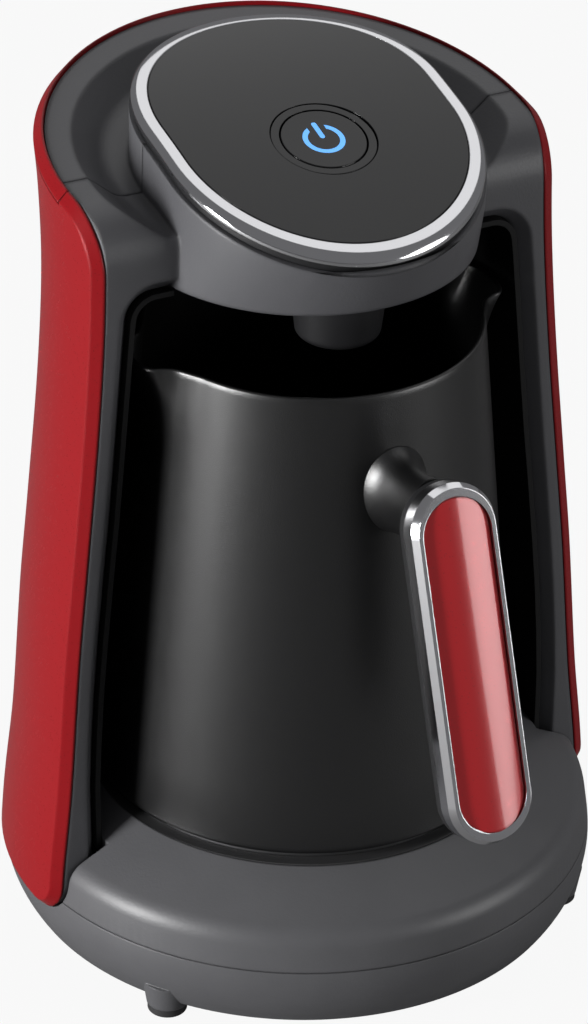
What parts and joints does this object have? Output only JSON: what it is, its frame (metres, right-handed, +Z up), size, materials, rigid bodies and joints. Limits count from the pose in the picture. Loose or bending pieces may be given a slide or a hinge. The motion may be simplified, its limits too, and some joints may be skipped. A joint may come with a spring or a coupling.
{
  "type": "electric coffee maker",
  "caption": "Electric coffee maker: a small long-handled pot with pouring spouts stands on a heated base in an open bay and slides out to the front, under a sloping head with a button.",
  "frame": {"origin": "centre of the footprint box, on the surface that the feet stand on", "axes": "+Z up, -Y to the front where the pot's handle points, +X to the right seen from the front"},
  "size_m": [0.1564, 0.1766, 0.2237],
  "materials": {
    "grey": "satin",
    "red": "gloss",
    "dark_plastic": "matte",
    "black_gloss": "gloss",
    "bright_trim": "polished",
    "pot_coat": "speckled coat",
    "plate_metal": "brushed",
    "rubber": "matte",
    "steel": "plain",
    "board": "laminate",
    "component": "matte",
    "light": "lit",
    "lens": "clear"
  },
  "bodies": {
    "housing": {"base_tub": "grey", "base_cover": "grey", "foot_front_left": "rubber", "foot_front_right": "rubber", "foot_rear_left": "rubber", "foot_rear_right": "rubber", "base_screws": "steel", "cord_gland": "dark_plastic", "control_board": "board", "power_relay": "component", "buzzer": "component", "smoothing_capacitor": "component", "hot_plate": "plate_metal", "plate_seal": "rubber", "heating_element": "plate_metal", "element_yoke": "steel", "thermostat": "steel", "thermal_fuse": "steel", "front_frame": "grey", "rear_cover": "grey", "bay_liner": "dark_plastic", "rim_band": "red", "left_side_panel": "red", "right_side_panel": "red", "back_panel": "dark_plastic", "back_screws": "steel", "chrome_ring": "bright_trim", "control_panel": "black_gloss", "panel_carrier": "dark_plastic", "button_bezel": "bright_trim", "button_board": "board", "button_board_screws": "steel", "button_switch": "component", "head_floor": "grey", "sensor_nose": "dark_plastic", "sensor_lens": "lens", "sensor_board": "board"},
    "button": {"power_button": "black_gloss", "power_symbol": "light"},
    "pot": {"pot_body": "pot_coat", "pot_disc": "plate_metal", "handle_neck": "grey", "handle_grip": "dark_plastic", "handle_frame": "bright_trim", "handle_inlay": "red"}
  },
  "joints": [
    {"name": "button_press", "type": "slide", "parent": "housing", "child": "button", "axis": [0, 0.2553, -0.9669], "range_m": [0, 0.0015], "stiffness_N_per_m": 600},
    {"name": "pot_slide", "type": "slide", "parent": "housing", "child": "pot", "axis": [0, -1, 0], "range_m": [0, 0.18]}
  ]
}
